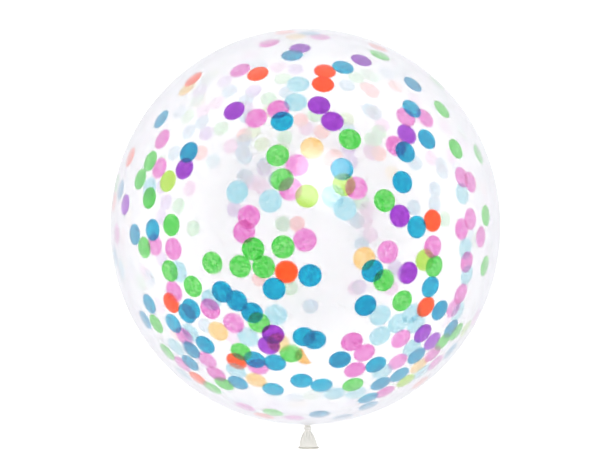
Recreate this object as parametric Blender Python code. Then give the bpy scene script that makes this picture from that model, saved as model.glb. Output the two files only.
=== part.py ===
"""A giant round clear balloon of latex, tied off at its neck and lying on its side.

One dipped piece of latex: the round body, the gathers that run into the neck, the knot tied in
the neck, and the flared tail with its rolled lip. The sealed body is solid and the tail is open.
The balloon's axis lies along Y with the crown towards +Y and the tail towards -Y. The origin is
the centre of the small flat spot that it lies on. Metres, +Z up.
"""

import math

import bmesh
import bpy
from mathutils import Vector
from mathutils.geometry import interpolate_bezier

# The blown-up body, measured from its widest ring.
BODY_DIAMETER = 0.910
CROWN_LENGTH = 0.461
SHOULDER_LENGTH = 0.463
FLAT_SPOT_DIAMETER = 0.110

# The gathers between the round body and the knot.
GATHER_START_DIAMETER = 0.110
GATHER_COUNT = 12
GATHER_DEPTH = 0.0012
THROAT_LENGTH = 0.0120
THROAT_DIAMETER = 0.0130
THROAT_LEAN = 0.0048

# The knot: two slanting turns of the neck, wrapped over each other.
KNOT_LENGTH = 0.0130
KNOT_DIAMETER = 0.0172
KNOT_SLANT = 0.0026
KNOT_TURN_WIDTH = 0.0054
KNOT_TWIST = math.radians(70.0)

# The tail below the knot: an open skirt, pressed nearly flat, with a rolled lip.
TAIL_LENGTH = 0.0420
TAIL_WIDTH = 0.0425
TAIL_DEPTH = 0.0170
TAIL_LEAN = 0.0075
SKIRT_FULLNESS = 0.8
FILM_THICKNESS = 0.0008
HOLLOW_START = 0.0100
LIP_THICKNESS = 0.0050
LIP_FLARE = 0.0046

# How finely the surface is divided.
SIDES = 60
CROWN_RINGS = 14
SHOULDER_RINGS = 14
GATHER_RINGS = 7
KNOT_RINGS = 12
TAIL_RINGS = 9
LIP_RINGS = 6
HOLLOW_RINGS = 5

CUTTER_MARGIN = 0.10
LATEX_COLOUR = (0.93, 0.93, 0.95, 0.25)
LATEX_ROUGHNESS = 0.12

BODY_RADIUS = BODY_DIAMETER / 2
FLAT_SPOT_RADIUS = FLAT_SPOT_DIAMETER / 2
AXIS_HEIGHT = math.sqrt(BODY_RADIUS**2 - FLAT_SPOT_RADIUS**2)


def clear_scene():
    for thing in list(bpy.data.objects):
        bpy.data.objects.remove(thing, do_unlink=True)


def make_collection(name):
    group = bpy.data.collections.new(name)
    bpy.context.scene.collection.children.link(group)
    return group


def latex_material():
    latex = bpy.data.materials.new("clear latex")
    latex.use_nodes = True
    shader = latex.node_tree.nodes["Principled BSDF"]
    shader.inputs["Base Color"].default_value = LATEX_COLOUR
    shader.inputs["Alpha"].default_value = LATEX_COLOUR[3]
    shader.inputs["Roughness"].default_value = LATEX_ROUGHNESS
    shader.inputs["Metallic"].default_value = 0.0
    latex.diffuse_color = LATEX_COLOUR
    return latex


def smooth(share):
    """Eases a share of a length in and out."""
    share = min(max(share, 0.0), 1.0)
    return share * share * (3.0 - 2.0 * share)


def ring(along, width, depth, gather=0.0, twist=0.0, knot=0.0):
    """One cross-section: how far along the axis, its half sizes and what is folded into it."""
    return {"along": along, "width": width, "depth": depth, "gather": gather, "twist": twist, "knot": knot}


def axis_offset(along):
    """How far a place along the axis stands off it, towards +X: the neck isn't quite straight."""
    throat = SHOULDER_LENGTH + THROAT_LENGTH
    start = throat - 2 * THROAT_LENGTH
    below = max(along - throat, 0.0) / (KNOT_LENGTH + TAIL_LENGTH)
    return THROAT_LEAN * smooth((along - start) / (throat - start)) + (TAIL_LEAN - THROAT_LEAN) * below


def body_rings():
    """The round body, as two half ovals that meet at the widest ring."""
    start_radius = GATHER_START_DIAMETER / 2
    last = math.pi - math.asin(start_radius / BODY_RADIUS)
    rings = []
    for step in range(1, CROWN_RINGS + 1):
        angle = math.pi / 2 * step / CROWN_RINGS
        radius = BODY_RADIUS * math.sin(angle)
        rings.append(ring(-CROWN_LENGTH * math.cos(angle), radius, radius))
    for step in range(1, SHOULDER_RINGS + 1):
        angle = math.pi / 2 + (last - math.pi / 2) * step / SHOULDER_RINGS
        radius = BODY_RADIUS * math.sin(angle)
        rings.append(ring(-SHOULDER_LENGTH * math.cos(angle), radius, radius))
    return rings


def gather_rings(shoulder):
    """The hollow curve in which the film is drawn together towards the knot."""
    throat = Vector((THROAT_DIAMETER / 2, SHOULDER_LENGTH + THROAT_LENGTH))
    start = Vector((shoulder["width"], shoulder["along"]))
    slope = SHOULDER_LENGTH / BODY_RADIUS * start.x / BODY_RADIUS
    first_handle = start + Vector((-1.0, slope)) * (start.x - throat.x) * 0.75
    second_handle = throat - Vector((0.0, THROAT_LENGTH * 0.8))
    curve = interpolate_bezier(start, first_handle, second_handle, throat, GATHER_RINGS + 1)
    rings = []
    for step, point in enumerate(curve[1:], start=1):
        gather = GATHER_DEPTH * smooth(step / GATHER_RINGS)
        rings.append(ring(point.y, point.x, point.x, gather=min(gather, point.x / 3)))
    return rings


def knot_rings():
    """The knot: the neck goes on through it, and the two turns round it stand out."""
    top = SHOULDER_LENGTH + THROAT_LENGTH
    rings = []
    for step in range(1, KNOT_RINGS + 1):
        share = step / KNOT_RINGS
        radius = THROAT_DIAMETER / 2
        along = top + KNOT_LENGTH * share
        gather = GATHER_DEPTH * (1.0 - 0.6 * math.sin(math.pi * share))
        rings.append(ring(along, radius, radius, gather, KNOT_TWIST * smooth(share), knot=1.0))
    return rings


def tail_size(share, shrink):
    """Half width, half depth and fold depth of the skirt, a share of the way down its length."""
    flare = math.sin(math.pi / 2 * share) ** SKIRT_FULLNESS
    width = THROAT_DIAMETER / 2 + (TAIL_WIDTH / 2 - THROAT_DIAMETER / 2) * flare
    depth = THROAT_DIAMETER / 2 + (TAIL_DEPTH / 2 - THROAT_DIAMETER / 2) * flare
    gather = GATHER_DEPTH * (1.0 - smooth(share))
    return width - shrink, depth - shrink, gather


def tail_rings():
    top = SHOULDER_LENGTH + THROAT_LENGTH + KNOT_LENGTH
    skirt = TAIL_LENGTH - LIP_THICKNESS
    rings = []
    for step in range(1, TAIL_RINGS + 1):
        share = step / TAIL_RINGS
        width, depth, gather = tail_size(share, 0.0)
        rings.append(ring(top + skirt * share, width, depth, gather, KNOT_TWIST))
    for step in range(1, LIP_RINGS + 1):
        turn = math.pi * step / (LIP_RINGS + 1)
        out = LIP_FLARE * math.sin(turn) - FILM_THICKNESS * step / (LIP_RINGS + 1)
        along = top + skirt + LIP_THICKNESS / 2 * (1.0 - math.cos(turn))
        rings.append(ring(along, TAIL_WIDTH / 2 + out, TAIL_DEPTH / 2 + out, twist=KNOT_TWIST))
    for step in range(HOLLOW_RINGS):
        share = 1.0 - (1.0 - HOLLOW_START / skirt) * step / (HOLLOW_RINGS - 1)
        width, depth, gather = tail_size(share, FILM_THICKNESS)
        rings.append(ring(top + skirt * share, width, depth, gather, KNOT_TWIST))
    return rings


def ring_points(section):
    """The points of one ring, out from the axis by its oval, its folds and the knot's turns."""
    knot_middle = SHOULDER_LENGTH + THROAT_LENGTH + KNOT_LENGTH / 2
    turn_height = (KNOT_DIAMETER - THROAT_DIAMETER) / 2
    points = []
    for side in range(SIDES):
        angle = 2 * math.pi * side / SIDES
        turned = angle + section["twist"]
        across = math.cos(turned)
        up = math.sin(turned)
        oval = 1.0 / math.hypot(across / section["width"], up / section["depth"])
        folds = section["gather"] * math.cos(GATHER_COUNT * angle)
        turns = 0.0
        for lean in (-KNOT_SLANT, KNOT_SLANT):
            off = (section["along"] - knot_middle - lean * math.sin(turned)) / (KNOT_TURN_WIDTH / 2)
            turns = max(turns, math.exp(-off * off))
        radius = oval + folds + section["knot"] * turn_height * turns
        x = axis_offset(section["along"]) + radius * across
        points.append(Vector((x, -section["along"], AXIS_HEIGHT + radius * up)))
    return points


def balloon_mesh():
    """Joins the rings from the crown to the tail's lip and back up inside the tail."""
    rings = body_rings()
    rings += gather_rings(rings[-1])
    rings += knot_rings()
    rings += tail_rings()
    surface = bmesh.new()
    crown = surface.verts.new((0.0, CROWN_LENGTH, AXIS_HEIGHT))
    rows = [[surface.verts.new(point) for point in ring_points(section)] for section in rings]
    end = rings[-1]["along"]
    hollow_end = surface.verts.new((axis_offset(end), -end, AXIS_HEIGHT))
    for side in range(SIDES):
        beside = (side + 1) % SIDES
        surface.faces.new((crown, rows[0][side], rows[0][beside]))
        for upper, lower in zip(rows, rows[1:]):
            surface.faces.new((upper[side], lower[side], lower[beside], upper[beside]))
        surface.faces.new((rows[-1][side], hollow_end, rows[-1][beside]))
    bmesh.ops.recalc_face_normals(surface, faces=surface.faces)
    mesh = bpy.data.meshes.new("balloon")
    surface.to_mesh(mesh)
    surface.free()
    mesh.shade_smooth()
    mesh.set_sharp_from_angle(angle=math.radians(50.0))
    return mesh


def flat_spot_cutter(group):
    """The block below the floor that gives the balloon its flat spot."""
    side = FLAT_SPOT_DIAMETER + 2 * CUTTER_MARGIN
    bpy.ops.mesh.primitive_cube_add(size=side, location=(0.0, 0.0, -side / 2))
    cutter = bpy.context.active_object
    cutter.name = "flat spot cutter"
    for holder in list(cutter.users_collection):
        holder.objects.unlink(cutter)
    group.objects.link(cutter)
    cutter.hide_render = True
    cutter.display_type = "WIRE"
    return cutter


def make_balloon():
    parts = make_collection("confetti balloon")
    cutters = make_collection("cutters")
    balloon = bpy.data.objects.new("balloon", balloon_mesh())
    balloon.data.materials.append(latex_material())
    parts.objects.link(balloon)
    flatten = balloon.modifiers.new("flat spot", "BOOLEAN")
    flatten.operation = "DIFFERENCE"
    flatten.solver = "EXACT"
    flatten.object = flat_spot_cutter(cutters)
    return balloon


clear_scene()
make_balloon()
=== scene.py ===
import math
import random

import bmesh
import bpy
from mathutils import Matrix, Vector
from mathutils.geometry import interpolate_bezier


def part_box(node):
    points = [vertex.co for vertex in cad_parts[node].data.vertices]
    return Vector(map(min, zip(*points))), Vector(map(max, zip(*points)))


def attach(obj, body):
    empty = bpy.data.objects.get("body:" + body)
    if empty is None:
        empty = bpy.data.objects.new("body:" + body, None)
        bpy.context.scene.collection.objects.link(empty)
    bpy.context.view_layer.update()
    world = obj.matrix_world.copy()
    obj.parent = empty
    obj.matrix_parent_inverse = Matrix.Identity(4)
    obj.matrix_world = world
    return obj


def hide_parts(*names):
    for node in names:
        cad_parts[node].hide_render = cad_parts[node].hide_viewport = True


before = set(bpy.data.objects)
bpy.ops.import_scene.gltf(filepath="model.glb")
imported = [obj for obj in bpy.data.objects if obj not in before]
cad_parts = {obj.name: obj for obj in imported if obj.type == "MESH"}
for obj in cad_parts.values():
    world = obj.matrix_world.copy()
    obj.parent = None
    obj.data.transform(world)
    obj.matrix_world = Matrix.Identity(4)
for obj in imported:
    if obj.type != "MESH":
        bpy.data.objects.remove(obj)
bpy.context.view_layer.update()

# A giant round clear latex balloon with tissue-paper confetti clinging to the inside of its film.
# It lies on its side: the crown points to +Y, the knot and tail to -Y. Sizes are in metres.
random.seed(36)  # so that the confetti is scattered in the same way every time

low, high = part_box("balloon")
bodyRadius = (high[0] - low[0]) / 2
axisHeight = high[2] - bodyRadius
crownLength = high[1]
tailReach = -low[1]
middle = Vector((0.0, 0.0, axisHeight))

photo = {
    "width": 613,
    "height": 460,
    "balloonX": 305.4,  # the middle of the round body, in the photo's pixels
    "balloonY": 226.5,
    "outlineRadius": 195.25,  # from that middle to the side of the body
    "cameraRadii": 4.7,  # how far off the camera is, in radii of the body
    "sensorWidth": 36.0,  # of the camera, in millimetres
}


# Helpers

def linear(hexColour):  # sRGB hex to linear red, green, blue and alpha
    parts = [int(hexColour[start:start + 2], 16) / 255 for start in (0, 2, 4)]
    return [part / 12.92 if part <= 0.04045 else ((part + 0.055) / 1.055) ** 2.4 for part in parts] + [1.0]


def addNode(tree, kind, settings=None, links=None):  # a name that is no attribute is an input
    node = tree.nodes.new(f"ShaderNode{kind}")
    for name, value in (settings or {}).items():
        if isinstance(name, str) and hasattr(node, name):
            setattr(node, name, value)
        else:
            node.inputs[name].default_value = value
    for name, source in (links or {}).items():
        tree.links.new(source.outputs[0] if hasattr(source, "outputs") else source, node.inputs[name])
    return node


def newMaterial(name):
    material = bpy.data.materials.new(name)
    material.use_nodes = True
    material.node_tree.nodes.clear()
    return material, material.node_tree


def smooth(share):  # eases a share in and out
    share = min(max(share, 0.0), 1.0)
    return share * share * (3.0 - 2.0 * share)


sharpAngle = math.radians(60)  # where faces meet at more than this, their edge stays crisp


def makePiece(name, surface, material):
    bmesh.ops.recalc_face_normals(surface, faces=surface.faces)
    mesh = bpy.data.meshes.new(name)
    surface.to_mesh(mesh)
    surface.free()
    mesh.shade_smooth()
    mesh.set_sharp_from_angle(angle=sharpAngle)
    mesh.materials.append(material)
    piece = bpy.data.objects.new(name, mesh)
    bpy.context.scene.collection.objects.link(piece)
    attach(piece, "root")
    return piece


# Camera: straight above, as the photo looks at the hanging balloon from the side

focal = photo["outlineRadius"] / math.tan(math.asin(1 / photo["cameraRadii"]))  # in pixels
cameraDistance = photo["cameraRadii"] * bodyRadius
pixelSize = cameraDistance / focal  # at the balloon's axis
eye = middle + Vector((
    (photo["width"] / 2 - photo["balloonX"]) * pixelSize,
    (photo["balloonY"] - photo["height"] / 2) * pixelSize,
    cameraDistance,
))
camera = bpy.data.objects.new("camera", bpy.data.cameras.new("camera"))
camera.data.sensor_width = photo["sensorWidth"]
camera.data.lens = focal * camera.data.sensor_width / photo["width"]
camera.location = eye
bpy.context.scene.collection.objects.link(camera)
bpy.context.scene.camera = camera
print("camera set above the balloon")


# Shape of the wall

neckShape = {
    "gatherStart": 0.055,  # radius where the film starts to gather
    "throatRadius": 0.0065,
    "throatLength": 0.0120,
    "throatLean": 0.0048,  # how far the throat stands off the axis, to +X
    "knotLength": 0.0130,
    "tailLength": 0.0420,
    "tailLean": 0.0075,
    "gathers": 12,
    "gatherDepth": 0.0012,
    "knotHeight": 0.0021,  # how far each turn of the knot stands out
    "knotSlant": 0.0026,
    "turnWidth": 0.0054,
    "knotTwist": math.radians(70),
    "tailWidth": 0.0425,
    "tailDepth": 0.0170,
    "skirtFullness": 0.8,  # the smaller, the sooner the skirt widens below the knot
    "film": 0.0008,  # thickness of the skirt
    "lip": 0.0050,
    "lipFlare": 0.0046,
    "hollowStart": 0.0100,  # how far below the knot the hollow ends
}
shoulderLength = tailReach - neckShape["throatLength"] - neckShape["knotLength"] - neckShape["tailLength"]


def wallPoint(direction, depth=0.0):  # a place on the wall, and how far inside it
    length = crownLength if direction.y > 0 else shoulderLength
    sizes = Vector((bodyRadius, length, bodyRadius))
    scaled = Vector((direction.x / sizes.x, direction.y / sizes.y, direction.z / sizes.z))
    normal = Vector((scaled.x / sizes.x, scaled.y / sizes.y, scaled.z / sizes.z)).normalized()
    point = middle + direction / scaled.length - normal * depth
    point.z = max(point.z, depth)  # on the flat spot
    return point


def seenOnWall(pixelX, pixelY, farSide=False):  # the direction from the middle to what a pixel sees
    ray = Vector(((pixelX - photo["width"] / 2) / focal, (photo["height"] / 2 - pixelY) / focal, -1.0))
    length = crownLength if pixelY < photo["balloonY"] else shoulderLength
    squash = bodyRadius / length
    start = eye - middle
    start.y *= squash
    ray.y *= squash
    a = ray.dot(ray)
    b = ray.dot(start)
    c = start.dot(start) - bodyRadius**2
    root = math.sqrt(max(b * b - a * c, 0.0))
    hit = start + ray * ((-b + root) / a if farSide else (-b - root) / a)
    hit.y /= squash
    return hit.normalized()


# Latex: cast by dipping and then stretched. Thin film is nearly clear, faintly milky and glossy, and it
# looks whiter edge-on. Where it was hardly stretched, at the neck, it is thick, milky and cream coloured.

filmLook = {
    "clearTint": "FFFFFF",
    "edgeTint": "ECECEE",  # a long way through the film takes a little light
    "rimTint": "BEBEC4",  # what comes back from it edge-on
    "milkTint": "E0DFDB",
    "lipTint": "CDCBC4",
    "haze": 0.64,  # share of the light that the film scatters on its way through, seen square on
    "thickHaze": 0.97,
    "leastFacing": 0.12,  # seen more edge-on than this, the way through the film grows no longer
    "back": 0.012,  # share of the scattered light that comes back
    "slantedBack": 0.15,  # and where the film stands at a slant, so it veils what lies behind it
    "thickBack": 0.45,
    "slantTilts": (0.33, 0.6),  # tilts between which that veil and the edge tint grow
    "bloom": 0.66,  # how white the film is edge-on
    "bloomTilts": (0.6, 0.82),  # tilts between which it whitens
    "shine": 0.043,  # share that the outer face mirrors, seen square on: an IOR of 1.52
    "edgeShine": 0.5,  # and edge-on, where a clean face would mirror all: the stretched face is hazy
    "shineFalloff": 5.0,  # it grows with this power of the tilt, as on glass
    "roughness": 0.14,
    "crownHaze": 0.25,  # the dipped tip is a little thicker
    "crownStart": 0.86,  # share of the way to the crown where the tip starts
    "shoulderRadii": (0.045, 0.009),  # radii between which the gathered film turns milky
    "throatShare": 0.8,  # how far down the throat it is milky all through
    "throatEase": 0.003,  # the length over which it turns milky there
    "lipEase": 0.0008,  # half the length over which the tint of the lip sets in
}


def latexMaterial(name, look, thicknessOf, lipOf=None):
    material, tree = newMaterial(name)
    place = addNode(tree, "TexCoord").outputs["Object"]
    thick = thicknessOf(tree, place)
    tilt = addNode(tree, "LayerWeight", {"Blend": 0.5}).outputs["Facing"]  # 0 seen square on, 1 edge-on

    # The haze gets stronger with the length of the light's way through the film
    facing = addNode(tree, "Math", {"operation": "SUBTRACT", 0: 1.0}, {1: tilt})
    facing = addNode(tree, "Math", {"operation": "MAXIMUM", 1: look["leastFacing"]}, {0: facing})
    way = addNode(tree, "Math", {"operation": "DIVIDE", 0: 1.0}, {1: facing})
    haze = addNode(tree, "Mix", {2: look["haze"], 3: look["thickHaze"]}, {0: thick})
    clear = addNode(tree, "Math", {"operation": "SUBTRACT", 0: 1.0}, {1: haze})
    clear = addNode(tree, "Math", {"operation": "POWER"}, {0: clear, 1: way})
    start, end = look["slantTilts"]
    settings = {"interpolation_type": "SMOOTHSTEP", "From Min": start, "From Max": end}
    slanted = addNode(tree, "MapRange", settings, {"Value": tilt})
    colours = {6: linear(look["clearTint"]), 7: linear(look["edgeTint"])}
    tint = addNode(tree, "Mix", {"data_type": "RGBA", **colours}, {0: slanted}).outputs[2]
    milk = {"data_type": "RGBA", 7: linear(look["milkTint"])}
    tint = addNode(tree, "Mix", milk, {0: thick, 6: tint}).outputs[2]
    if lipOf:
        lip = {"data_type": "RGBA", 7: linear(look["lipTint"])}
        tint = addNode(tree, "Mix", lip, {0: lipOf(tree, place), 6: tint}).outputs[2]
    through = addNode(tree, "BsdfTransparent")
    forward = addNode(tree, "BsdfTranslucent", links={"Color": tint})
    back = addNode(tree, "BsdfDiffuse", links={"Color": tint})
    backShare = addNode(tree, "Mix", {2: look["back"], 3: look["slantedBack"]}, {0: slanted})
    backShare = addNode(tree, "Mix", {3: look["thickBack"]}, {0: thick, 2: backShare})
    milk = addNode(tree, "MixShader", links={0: backShare, 1: forward, 2: back})
    wall = addNode(tree, "MixShader", links={0: clear, 1: milk, 2: through})

    # Edge-on the film whitens, and it mirrors more, from inside as from outside
    start, end = look["bloomTilts"]
    settings = {"interpolation_type": "SMOOTHSTEP", "From Min": start, "From Max": end}
    settings["To Max"] = look["bloom"]
    bloom = addNode(tree, "MapRange", settings, {"Value": tilt})
    thin = addNode(tree, "Math", {"operation": "SUBTRACT", 0: 1.0}, {1: thick})
    bloom = addNode(tree, "Math", {"operation": "MULTIPLY"}, {0: bloom, 1: thin})
    rim = addNode(tree, "BsdfDiffuse", {"Color": linear(look["rimTint"])})
    edge = addNode(tree, "MixShader", links={0: bloom, 1: wall, 2: rim})
    mirrored = addNode(tree, "Math", {"operation": "POWER", 1: look["shineFalloff"]}, {0: tilt})
    settings = {"operation": "MULTIPLY_ADD", 1: look["edgeShine"] - look["shine"], 2: look["shine"]}
    mirrored = addNode(tree, "Math", settings, {0: mirrored})
    gloss = addNode(tree, "BsdfGlossy", {"Roughness": look["roughness"]})
    surface = addNode(tree, "MixShader", links={0: mirrored, 1: edge, 2: gloss})
    addNode(tree, "OutputMaterial", links={"Surface": surface})
    return material


def crownThickness(tree, place):
    along = addNode(tree, "SeparateXYZ", links={0: place}).outputs["Y"]
    start = crownLength * filmLook["crownStart"]
    settings = {"interpolation_type": "SMOOTHSTEP", "From Min": start, "From Max": crownLength}
    settings["To Max"] = filmLook["crownHaze"]
    return addNode(tree, "MapRange", settings, {"Value": along})


def neckThickness(tree, place):  # thick from the throat down, and thinning out over the shoulder
    axis = Vector((neckShape["throatLean"] / 2, 0.0, axisHeight))
    offset = addNode(tree, "VectorMath", {"operation": "SUBTRACT", 1: axis}, {0: place})
    offset = addNode(tree, "VectorMath", {"operation": "MULTIPLY", 1: (1.0, 0.0, 1.0)}, {0: offset})
    radius = addNode(tree, "VectorMath", {"operation": "LENGTH"}, {0: offset}).outputs["Value"]
    outer, inner = filmLook["shoulderRadii"]
    settings = {"interpolation_type": "SMOOTHSTEP", "From Min": outer, "From Max": inner}
    shoulder = addNode(tree, "MapRange", settings, {"Value": radius})
    along = addNode(tree, "SeparateXYZ", links={0: place}).outputs["Y"]
    throat = -shoulderLength - neckShape["throatLength"] * filmLook["throatShare"]
    start = throat + filmLook["throatEase"]
    settings = {"interpolation_type": "SMOOTHSTEP", "From Min": start, "From Max": throat}
    below = addNode(tree, "MapRange", settings, {"Value": along})
    return addNode(tree, "Math", {"operation": "MAXIMUM"}, {0: shoulder, 1: below})


def lipShare(tree, place):  # the rolled lip is many films thick
    along = addNode(tree, "SeparateXYZ", links={0: place}).outputs["Y"]
    edge = -tailReach + neckShape["lip"]
    ease = filmLook["lipEase"]
    settings = {"interpolation_type": "SMOOTHSTEP", "From Min": edge + ease, "From Max": edge - ease}
    return addNode(tree, "MapRange", settings, {"Value": along})


film = {"around": 160, "crownRings": 44, "shoulderRings": 44}  # how finely it is divided


def makeFilm():
    surface = bmesh.new()
    quarter = math.pi / 2
    rest = math.pi - math.asin(neckShape["gatherStart"] / bodyRadius) - quarter
    crownSteps = range(1, film["crownRings"] + 1)
    shoulderSteps = range(1, film["shoulderRings"] + 1)
    angles = [quarter * step / film["crownRings"] for step in crownSteps]
    angles += [quarter + rest * step / film["shoulderRings"] for step in shoulderSteps]
    crown = surface.verts.new(wallPoint(Vector((0.0, 1.0, 0.0))))
    rows = []
    for angle in angles:
        length = crownLength if angle < quarter else shoulderLength
        row = []
        for side in range(film["around"]):
            turn = 2 * math.pi * side / film["around"]
            radius = bodyRadius * math.sin(angle)
            height = max(axisHeight + radius * math.sin(turn), 0.0)
            row.append(surface.verts.new((radius * math.cos(turn), length * math.cos(angle), height)))
        rows.append(row)
    for side in range(film["around"]):
        beside = (side + 1) % film["around"]
        surface.faces.new((crown, rows[0][side], rows[0][beside]))
        for upper, lower in zip(rows, rows[1:]):
            surface.faces.new((upper[side], lower[side], lower[beside], upper[beside]))
    material = latexMaterial("clear stretched latex", filmLook, crownThickness)
    return makePiece("latex_film", surface, material)


filmPiece = makeFilm()
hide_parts("balloon")
print("film made")


# Neck, knot and tail: the same latex hardly stretched

neck = {
    "around": 240,
    "gatherRings": 40,
    "knotRings": 48,
    "tailRings": 40,
    "lipRings": 16,
    "hollowRings": 16,
    "shoulderPull": 0.75,  # how long the gathered film keeps the body's slope, and then the throat's
    "throatPull": 0.8,
    "knotPress": 0.6,  # how much the knot's turns press the folds flat
    "foldDepth": 0.8,  # the folds that the solid has too, as a share of their depth
    "fineDepth": 0.3,  # and finer ones between them
    "fineFolds": 19,
    "fineShift": 1.0,
}


def neckLean(along):  # how far a place along the neck stands off the axis
    shape = neckShape
    throat = shoulderLength + shape["throatLength"]
    start = throat - 2 * shape["throatLength"]
    below = max(along - throat, 0.0) / (shape["knotLength"] + shape["tailLength"])
    sideways = shape["throatLean"] * smooth((along - start) / (throat - start))
    return sideways + (shape["tailLean"] - shape["throatLean"]) * below


def neckProfile():  # rings from the film to the lip and back up inside the tail
    shape = neckShape
    share = shape["gatherStart"] / bodyRadius
    start = Vector((shape["gatherStart"], shoulderLength * math.sqrt(1 - share**2)))
    throat = Vector((shape["throatRadius"], shoulderLength + shape["throatLength"]))
    slope = shoulderLength / bodyRadius * start.x / bodyRadius
    firstHandle = start + Vector((-1.0, slope)) * (start.x - throat.x) * neck["shoulderPull"]
    secondHandle = throat - Vector((0.0, shape["throatLength"] * neck["throatPull"]))
    rings = []
    curve = interpolate_bezier(start, firstHandle, secondHandle, throat, neck["gatherRings"] + 1)
    for step, point in enumerate(curve):
        gather = shape["gatherDepth"] * smooth(step / neck["gatherRings"])
        rings.append({"along": point.y, "wide": point.x, "deep": point.x, "gather": gather, "twist": 0.0})
    top = throat.y
    for step in range(1, neck["knotRings"] + 1):
        part = step / neck["knotRings"]
        gather = shape["gatherDepth"] * (1.0 - neck["knotPress"] * math.sin(math.pi * part))
        rings.append({
            "along": top + shape["knotLength"] * part, "wide": throat.x, "deep": throat.x, "gather": gather,
            "twist": shape["knotTwist"] * smooth(part), "knot": True,
        })
    top += shape["knotLength"]
    skirt = shape["tailLength"] - shape["lip"]

    def tailRing(part, shrink):
        flare = math.sin(math.pi / 2 * part) ** shape["skirtFullness"]
        return {
            "along": top + skirt * part,
            "wide": throat.x + (shape["tailWidth"] / 2 - throat.x) * flare - shrink,
            "deep": throat.x + (shape["tailDepth"] / 2 - throat.x) * flare - shrink,
            "gather": shape["gatherDepth"] * (1.0 - smooth(part)),
            "twist": shape["knotTwist"],
        }

    rings += [tailRing(step / neck["tailRings"], 0.0) for step in range(1, neck["tailRings"] + 1)]
    for step in range(1, neck["lipRings"] + 1):
        turn = math.pi * step / (neck["lipRings"] + 1)
        out = shape["lipFlare"] * math.sin(turn) - shape["film"] * step / (neck["lipRings"] + 1)
        rings.append({
            "along": top + skirt + shape["lip"] / 2 * (1.0 - math.cos(turn)),
            "wide": shape["tailWidth"] / 2 + out, "deep": shape["tailDepth"] / 2 + out,
            "gather": 0.0, "twist": shape["knotTwist"],
        })
    for step in range(neck["hollowRings"]):
        part = 1.0 - (1.0 - shape["hollowStart"] / skirt) * step / (neck["hollowRings"] - 1)
        rings.append(tailRing(part, shape["film"]))
    return rings


def neckPoint(ring, angle):
    shape = neckShape
    turned = angle + ring["twist"]
    across, up = math.cos(turned), math.sin(turned)
    oval = 1.0 / math.hypot(across / ring["wide"], up / ring["deep"])
    coarse = neck["foldDepth"] * math.cos(shape["gathers"] * angle)
    fine = neck["fineDepth"] * math.cos(neck["fineFolds"] * angle + neck["fineShift"])
    folds = ring["gather"] * (coarse + fine)
    turns = 0.0
    if ring.get("knot"):
        knotMiddle = shoulderLength + shape["throatLength"] + shape["knotLength"] / 2
        for slant in (-shape["knotSlant"], shape["knotSlant"]):
            off = (ring["along"] - knotMiddle - slant * math.sin(turned)) / (shape["turnWidth"] / 2)
            turns = max(turns, math.exp(-off * off))
    radius = oval + folds + shape["knotHeight"] * turns
    return Vector((neckLean(ring["along"]) + radius * across, -ring["along"], axisHeight + radius * up))


def makeNeck():
    surface = bmesh.new()
    rings = neckProfile()
    turns = [2 * math.pi * side / neck["around"] for side in range(neck["around"])]
    rows = [[surface.verts.new(neckPoint(ring, turn)) for turn in turns] for ring in rings]
    last = rings[-1]["along"]
    end = surface.verts.new((neckLean(last), -last, axisHeight))
    for side in range(neck["around"]):
        beside = (side + 1) % neck["around"]
        for upper, lower in zip(rows, rows[1:]):
            surface.faces.new((upper[side], lower[side], lower[beside], upper[beside]))
        surface.faces.new((rows[-1][side], end, rows[-1][beside]))
    material = latexMaterial("milky unstretched latex", filmLook, neckThickness, lipShare)
    return makePiece("neck_knot_and_tail", surface, material)


neckPiece = makeNeck()
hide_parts("balloon")
print("neck, knot and tail made")


# Confetti: die-cut discs of dyed tissue paper, matte, thin enough that light and the next disc show through

confetti = {
    "diameter": 0.0447,
    "thickness": 0.00015,
    "gap": 0.0006,  # between the film and the first layer of discs
    "layer": 0.0005,  # from one layer of discs to the next
    "sides": 36,
    "rings": 3,
    "curled": 0.2,  # share of the discs whose edge lifts off the film
    "curl": 0.004,
    "leastCurl": 0.3,  # as a share of that
    "turnedFrom": (0.3, 0.2, 1.0),  # an odd direction, which the turns of the discs start from
    "sideBand": (-0.37, 0.2),  # between the wall that the photo shows near and far, as cosines
    "sideDiscs": 130,
    "farDiscs": 25,
    "farLowest": 0.25,  # the photo shows few discs on the far wall below this, as a cosine to the crown
    "neckClear": 0.12,  # radius round the neck that has no scattered discs
}

# Discs on the near wall, by where the photo shows their middles

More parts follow.
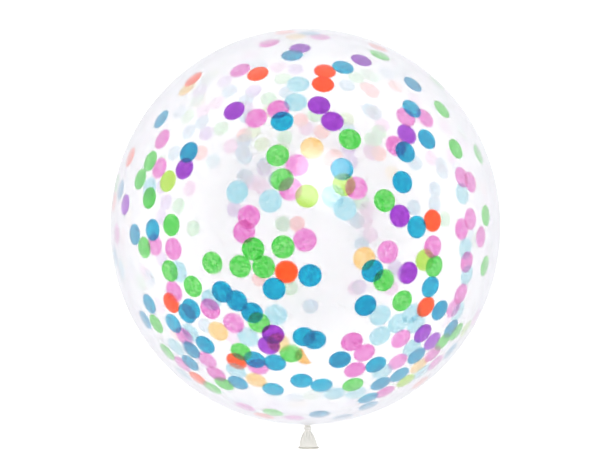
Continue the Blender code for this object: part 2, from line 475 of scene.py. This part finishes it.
nearDiscs = {
    "blue": [
        (161, 119), (188.5, 152.2), (120.3, 189.7), (292, 55), (343, 67), (413, 84), (412, 108.5),
        (282, 121), (427, 139), (405.5, 151.8), (342, 169), (402.6, 182), (417, 227), (152.3, 229.9),
        (134.4, 234.5), (310, 275.6), (274, 289), (222, 292), (236.5, 301), (252, 313), (149, 304),
        (191, 309), (186.6, 313.6), (145, 320), (173, 323.6), (372.6, 271), (365.6, 305.7), (430.6, 287),
        (440, 310.5), (304, 337), (314.8, 340.3), (191, 350), (205, 345), (190, 363), (254.6, 360),
        (275, 363), (340, 360), (376, 365), (237.8, 383), (273, 389.5), (301.5, 381), (321.6, 385.6),
        (451, 329), (416.7, 356), (399.7, 375), (380.6, 384), (115, 256), (451, 351), (310, 33),
        (368.3, 398.3), (368.3, 406.1), (319.4, 414.4), (342.8, 417.2),
    ],
    "green": [
        (150, 161), (140, 179), (149, 198), (171, 225), (144, 247.6), (253, 249), (283, 247), (212, 263),
        (240, 266.5), (263.5, 267), (169.5, 271), (192.6, 286.6), (277.5, 155.4), (282, 179.4), (350, 139),
        (442, 109), (456, 148.6), (384.7, 200.5), (434.5, 266.5), (384, 280.4), (402.4, 301),
        (258.7, 322.7), (156, 324), (240.8, 352), (291, 354), (353, 385), (456.6, 332), (443, 342),
        (224, 384), (212, 388), (167, 352), (380, 55), (437, 83), (478.6, 154), (486, 215.6), (485, 266),
        (116.7, 183), (272.8, 412.8),
    ],
    "pink": [
        (240, 70), (269, 43), (320, 36.5), (278, 109), (256, 118), (162, 139), (159, 168), (406, 117),
        (425, 117.6), (396, 145.8), (297, 165), (290.5, 189), (356.5, 188), (462, 177), (470.5, 182),
        (470.7, 219), (462, 229), (481, 237), (248.7, 216.5), (244, 232), (305, 240), (154.5, 244.9),
        (173, 249), (116.5, 234), (388, 252), (433, 246.7), (467, 262), (173.7, 291.6), (210, 309),
        (233.5, 323.4), (184, 336.5), (352, 342), (364.5, 353), (355, 370), (207, 360), (182, 364),
        (216, 374), (258, 367), (461, 294), (454, 308), (401, 339), (398, 362), (433, 354), (435.6, 363),
        (476, 317), (385, 392.2), (245, 407.2), (293.9, 418.3),
    ],
    "purple": [
        (234, 110.6), (300, 48), (361.5, 60), (319, 105), (332.4, 121), (184.1, 168.5), (407, 134),
        (400, 216), (408, 273), (273, 334.6), (268.7, 345.6), (423, 333.7), (432.4, 341.5), (125, 204.6),
    ],
    "orange": [
        (257.7, 73.6), (325, 71), (323, 84), (432.7, 220.6), (286.4, 272), (171, 303), (426, 307),
        (236.5, 361.4), (193, 79), (130, 157), (114, 202), (285, 32), (378, 47), (197.6, 378.6), (420, 383),
        (263.9, 416.1),
    ],
    "cyan": [
        (298, 84), (295.5, 102), (237, 192), (270.4, 201), (333, 196), (345, 208.7), (149.2, 188.0),
        (178, 271.5), (211, 300), (276, 315), (248, 337.3), (190, 333), (175.6, 347), (236, 371),
        (380.3, 315.5), (412, 314), (398, 323.6), (416.4, 324), (380, 336), (412, 348), (382.5, 372),
        (462.6, 193.6), (465.7, 248.6), (467, 275), (458, 312), (121, 269), (183, 374), (422, 372),
        (334.4, 393.9), (356.1, 393.3),
    ],
    "yellow": [
        (187, 88), (312, 148), (364.4, 258.6), (218, 331.5), (278, 343), (256, 380.5), (419, 366),
        (296, 36),
    ],
    "lime": [(167.7, 181), (307, 196), (344, 184.5), (425, 260), (406, 381), (466, 329)],
}

# Discs on the far wall, where they show pale through the film

farDiscs = {
    "blue": [
        (229.4, 91.1), (203.9, 81.7), (179.4, 111.7), (201.7, 121.7), (188.3, 131.7), (243.9, 140.6),
        (242.2, 151.7), (211.7, 55), (236, 49.4), (173.9, 152.8), (287.2, 91.7), (246, 99.4),
        (347.2, 128.3), (373.9, 111.7), (347, 85), (264.4, 165), (374.4, 112.8), (387.2, 72.8),
        (441.7, 165), (243.9, 176), (149.4, 278.3), (246.1, 177.2), (245, 157), (357.2, 220.6),
        (361.7, 243.9), (442.8, 170.6), (435, 189.4), (435, 203.9), (413.9, 207.2), (205, 326.1),
        (310.6, 306.7), (293.9, 398.3), (482.8, 177.2),
    ],
    "green": [
        (197.2, 99.4), (187.2, 116.1), (221.1, 128.3), (282.8, 78.3), (268.3, 98.3), (315, 115),
        (285, 137.8), (356, 77), (368, 74), (371.7, 139.4), (371.7, 76), (379.4, 131.7), (375, 138.3),
        (462.8, 132.8), (178.3, 206), (192.8, 228.3), (282.8, 223.9), (361.7, 201.7), (290.6, 288.3),
        (311.7, 395.6), (445, 219.4),
    ],
    "pink": [
        (216.1, 102.8), (202.8, 110.6), (230, 146.1), (278, 67), (306.1, 128.3), (370.6, 150.6),
        (382.8, 125), (371.7, 152.8), (446, 127.2), (431.7, 158.3), (189.4, 188.3), (261.7, 187.2),
        (367.2, 209.4), (366, 220.6), (370.6, 235), (355, 288.3), (391.7, 288.3), (232.8, 338.3),
        (433.9, 370.6),
    ],
    "purple": [
        (224.4, 81.1), (199.4, 90.6), (206.1, 133.3), (296, 69), (253.3, 90.6), (311.7, 31.7),
        (165.6, 201.7), (161.7, 186), (160.6, 217), (233.9, 209.4), (161.7, 259.4), (263.9, 168.3),
        (359.4, 287.2), (350.6, 161.7), (395, 267.2), (275, 406), (289.4, 412.8),
    ],
    "orange": [
        (200.6, 152.8), (300.6, 119.4), (321.7, 131.7), (335, 156), (297.2, 223.9), (259.4, 279.4),
        (329.4, 159.4), (371.7, 90.6), (396, 86), (368, 87),
    ],
}

# One disc that is folded in half

foldedDisc = {"colour": "yellow", "pixel": (306.5, 356.0), "turn": math.radians(-43)}

# The dyes: each colour is cut from more than one sheet, so it runs between two tones

tissues = {
    "blue": {"tones": ("00ADCF", "22E0EF"), "weight": 24},
    "green": {"tones": ("56DE5F", "C6F1BD"), "weight": 18},
    "pink": {"tones": ("EB93D7", "F9D9F1"), "weight": 22},
    "purple": {"tones": ("AD36CE", "DB90EF"), "weight": 8},
    "orange": {"tones": ("FF7900", "FF9D48"), "weight": 8},
    "cyan": {"tones": ("C2E6EE", "EAF6F7"), "weight": 12},
    "yellow": {"tones": ("F9DEAA", "FCF5DE"), "weight": 5},
    "lime": {"tones": ("CDEA7C", "E4F3AE"), "weight": 3},
}

tissueLook = {
    "cloudSize": 0.009,  # patches where the pulp lies thicker
    "cloudDetail": 3.0,
    "cloudRoughness": 0.6,
    "fibreSize": 0.0038,  # real fibres are finer, and drawn coarser so that they show
    "fibreDetail": 2.0,
    "fibreBend": 0.6,
    "fibreShare": 0.6,  # of the mottle, beside the patches
    "pulpRange": (0.43, 0.57),  # from the thinnest pulp to the thickest
    "relief": 0.0002,
    "reliefStrength": 0.35,
    "through": 0.94,  # share of the light that passes
    "holes": 0.005,  # share that passes between the fibres
    "roughness": 0.9,
    "ior": 1.3,  # below that of solid paper, for the air among the fibres
    "mottle": 0.62,  # how much of the run between the tones is mottle, and the rest is from disc to disc
}


def tissuePaper(name, look):
    material, tree = newMaterial(f"{name} tissue paper")
    place = addNode(tree, "TexCoord").outputs["Object"]
    settings = {"Scale": 1 / look["cloudSize"], "Detail": look["cloudDetail"]}
    settings["Roughness"] = look["cloudRoughness"]
    clouds = addNode(tree, "TexNoise", settings, {"Vector": place})
    settings = {"Scale": 1 / look["fibreSize"], "Detail": look["fibreDetail"]}
    settings["Distortion"] = look["fibreBend"]
    fibres = addNode(tree, "TexNoise", settings, {"Vector": place})
    pulp = addNode(tree, "Mix", {0: look["fibreShare"]}, {2: clouds, 3: fibres})
    thinnest, thickest = look["pulpRange"]
    mottle = addNode(tree, "MapRange", {"From Min": thinnest, "From Max": thickest}, {"Value": pulp})
    island = addNode(tree, "NewGeometry").outputs["Random Per Island"]
    tone = addNode(tree, "Mix", {0: look["mottle"]}, {2: island, 3: mottle})
    deep, pale = [linear(colour) for colour in tissues[name]["tones"]]
    dye = addNode(tree, "Mix", {"data_type": "RGBA", 6: deep, 7: pale}, {0: tone}).outputs[2]
    settings = {"Strength": look["reliefStrength"], "Distance": look["relief"]}
    bump = addNode(tree, "Bump", settings, {"Height": pulp})
    settings = {"Roughness": look["roughness"], "IOR": look["ior"]}
    front = addNode(tree, "BsdfPrincipled", settings, {"Base Color": dye, "Normal": bump})
    back = addNode(tree, "BsdfTranslucent", links={"Color": dye, "Normal": bump})
    paper = addNode(tree, "MixShader", {0: look["through"]}, {1: front, 2: back})
    gaps = addNode(tree, "BsdfTransparent")
    sheet = addNode(tree, "MixShader", {0: look["holes"]}, {1: paper, 2: gaps})
    addNode(tree, "OutputMaterial", links={"Surface": sheet})
    return material


def addDisc(surface, disc):  # a thin closed disc that follows the wall
    radius = confetti["diameter"] / 2
    outwards = disc["direction"]
    across = outwards.cross(Vector(confetti["turnedFrom"])).normalized()
    along = outwards.cross(across)
    spin = disc["turn"]
    first = across * math.cos(spin) + along * math.sin(spin)
    second = along * math.cos(spin) - across * math.sin(spin)

    def place(x, y, depth):
        lift = 0.0
        if disc["folded"] and y < 0:
            depth += confetti["layer"] + confetti["thickness"]
            y = -y
        if disc["curl"] > 0 and x > 0:
            lift = disc["curl"] * (x / radius) ** 2
        direction = (outwards * bodyRadius + first * x + second * y).normalized()
        return wallPoint(direction, depth + lift)

    sheets = []
    turns = [2 * math.pi * side / confetti["sides"] for side in range(confetti["sides"])]
    for depth in (disc["depth"], disc["depth"] + confetti["thickness"]):
        centre = surface.verts.new(place(0.0, 0.0, depth))
        rings = []
        for ring in range(1, confetti["rings"] + 1):
            size = radius * ring / confetti["rings"]
            corners = [place(size * math.cos(turn), size * math.sin(turn), depth) for turn in turns]
            rings.append([surface.verts.new(corner) for corner in corners])
        sheets.append((centre, rings))
    for number, (centre, rings) in enumerate(sheets):
        for side in range(confetti["sides"]):
            beside = (side + 1) % confetti["sides"]
            faces = [(centre, rings[0][side], rings[0][beside])]
            faces += [(i[side], o[side], o[beside], i[beside]) for i, o in zip(rings, rings[1:])]
            for face in faces:
                surface.faces.new(face if number == 0 else face[::-1])
    outer, inner = sheets[0][1][-1], sheets[1][1][-1]
    for side in range(confetti["sides"]):
        beside = (side + 1) % confetti["sides"]
        surface.faces.new((outer[side], inner[side], inner[beside], outer[beside]))


def newDisc(colour, direction):
    curled = random.random() < confetti["curled"]
    return {
        "colour": colour,
        "direction": direction,
        "turn": random.uniform(0.0, 2 * math.pi),
        "curl": random.uniform(confetti["leastCurl"], 1.0) * confetti["curl"] if curled else 0.0,
        "folded": False,
    }


def listDiscs():  # those that the photo shows, and then those scattered where it shows none
    discs = []
    for farSide, spots in ((False, nearDiscs), (True, farDiscs)):
        for colour, pixels in spots.items():
            for pixelX, pixelY in pixels:
                discs.append(newDisc(colour, seenOnWall(pixelX, pixelY, farSide)))
    folded = newDisc(foldedDisc["colour"], seenOnWall(*foldedDisc["pixel"]))
    folded.update({"folded": True, "curl": 0.0, "turn": foldedDisc["turn"]})
    discs.append(folded)
    names = list(tissues)
    weights = [tissues[name]["weight"] for name in names]
    towardsEye = (eye - middle).normalized()
    lowest, highest = confetti["sideBand"]
    for count, floorCosine, topCosine in (
        (confetti["sideDiscs"], lowest, highest),
        (confetti["farDiscs"], -1.0, lowest),
    ):
        placed = 0
        while placed < count:
            direction = Vector([random.gauss(0.0, 1.0) for axis in range(3)]).normalized()
            facing = direction.dot(towardsEye)
            spot = wallPoint(direction)
            nearNeck = direction.y < 0 and math.hypot(spot.x, spot.z - axisHeight) < confetti["neckClear"]
            if nearNeck or not floorCosine < facing < topCosine:
                continue
            if direction.y < confetti["farLowest"] and topCosine == lowest:
                continue
            discs.append(newDisc(random.choices(names, weights)[0], direction))
            placed += 1
    return discs


def stackDiscs(discs):  # a disc that overlaps others lies behind them, further inside
    reach = confetti["diameter"] / bodyRadius
    for number, disc in enumerate(discs):
        taken = {
            other["layer"] for other in discs[:number]
            if (other["direction"] - disc["direction"]).length < reach
        }
        layer = 0
        while layer in taken:
            layer += 1
        disc["layer"] = layer
        disc["depth"] = confetti["gap"] + layer * confetti["layer"]


allDiscs = listDiscs()
stackDiscs(allDiscs)
print(f"{len(allDiscs)} confetti discs placed, deepest layer {max(disc['layer'] for disc in allDiscs)}")
for tissue in tissues:
    surface = bmesh.new()
    for disc in allDiscs:
        if disc["colour"] == tissue:
            addDisc(surface, disc)
    makePiece(f"confetti_{tissue}", surface, tissuePaper(tissue, tissueLook))
print("confetti made")


# Floor, light and sky

studio = {
    "floor": "EAEAEB",
    "floorSize": 24.0,
    "floorCells": 8,
    "floorDrop": 0.0005,  # the floor lies this far under the flat spot, so that the faces don't fight
    "floorRoughness": 0.8,
    "floorIor": 1.3,
    "mottleSize": 1 / 3,  # faint broad patches in the paint
    "mottleShade": 0.985,
    "horizon": 1.45,  # how bright the pale walls are, seen from the side
    "overhead": 0.32,  # the room is darker high up, so the film mirrors little there
    "wallBand": (0.1, 0.6),  # where the walls pass into that, as sines of the angle above the horizon
    "ceilingSize": (24.0, 24.0),  # a large diffused light high above, kept out of the reflections
    "ceilingPlace": (0.0, 0.0, 20.0),
    "ceilingPower": 8100.0,
    "softboxSize": (1.2, 1.3),  # it gives the latex its highlights, and the other lights the rest
    "softboxPlace": (0.34, 1.12, 2.97),
    "softboxPower": 42.0,
}


def paleFloor():
    material, tree = newMaterial("pale painted floor")
    place = addNode(tree, "TexCoord").outputs["Object"]
    mottle = addNode(tree, "TexNoise", {"Scale": 1 / studio["mottleSize"]}, {"Vector": place})
    base = linear(studio["floor"])
    darker = [part * studio["mottleShade"] for part in base[:3]] + [1.0]
    colour = addNode(tree, "Mix", {"data_type": "RGBA", 6: base, 7: darker}, {0: mottle}).outputs[2]
    settings = {"Roughness": studio["floorRoughness"], "IOR": studio["floorIor"]}
    paint = addNode(tree, "BsdfPrincipled", settings, {"Base Color": colour})
    addNode(tree, "OutputMaterial", links={"Surface": paint})
    return material


surface = bmesh.new()
cells = studio["floorCells"]
bmesh.ops.create_grid(surface, x_segments=cells, y_segments=cells, size=studio["floorSize"] / 2)
floorMesh = bpy.data.meshes.new("floor")
surface.to_mesh(floorMesh)
surface.free()
floorMesh.materials.append(paleFloor())
floor = bpy.data.objects.new("floor", floorMesh)
floor.location.z = -studio["floorDrop"]
bpy.context.scene.collection.objects.link(floor)

world = bpy.data.worlds.new("studio")
world.use_nodes = True
tree = world.node_tree
direction = addNode(tree, "TexCoord").outputs["Generated"]
upwards = addNode(tree, "SeparateXYZ", links={0: direction}).outputs["Z"]
start, end = studio["wallBand"]
settings = {"interpolation_type": "SMOOTHSTEP", "From Min": start, "From Max": end}
settings.update({"To Min": studio["horizon"], "To Max": studio["overhead"]})
brightness = addNode(tree, "MapRange", settings, {"Value": upwards})
tree.links.new(brightness.outputs[0], tree.nodes["Background"].inputs["Strength"])
tree.nodes["Background"].inputs["Color"].default_value = (1.0, 1.0, 1.0, 1.0)
bpy.context.scene.world = world


def addLight(name, size, place, power):
    light = bpy.data.objects.new(name, bpy.data.lights.new(name, "AREA"))
    light.data.shape = "RECTANGLE"
    light.data.size, light.data.size_y = size
    light.data.energy = power
    light.location = place
    light.rotation_euler = (middle - light.location).to_track_quat("-Z", "Y").to_euler()
    bpy.context.scene.collection.objects.link(light)
    return light


softbox = addLight("softbox", studio["softboxSize"], studio["softboxPlace"], studio["softboxPower"])
softbox.visible_diffuse = False
ceiling = addLight("ceiling light", studio["ceilingSize"], studio["ceilingPlace"], studio["ceilingPower"])
ceiling.visible_glossy = False

bpy.context.scene.view_settings.view_transform = "Standard"
print("floor, light and sky set")
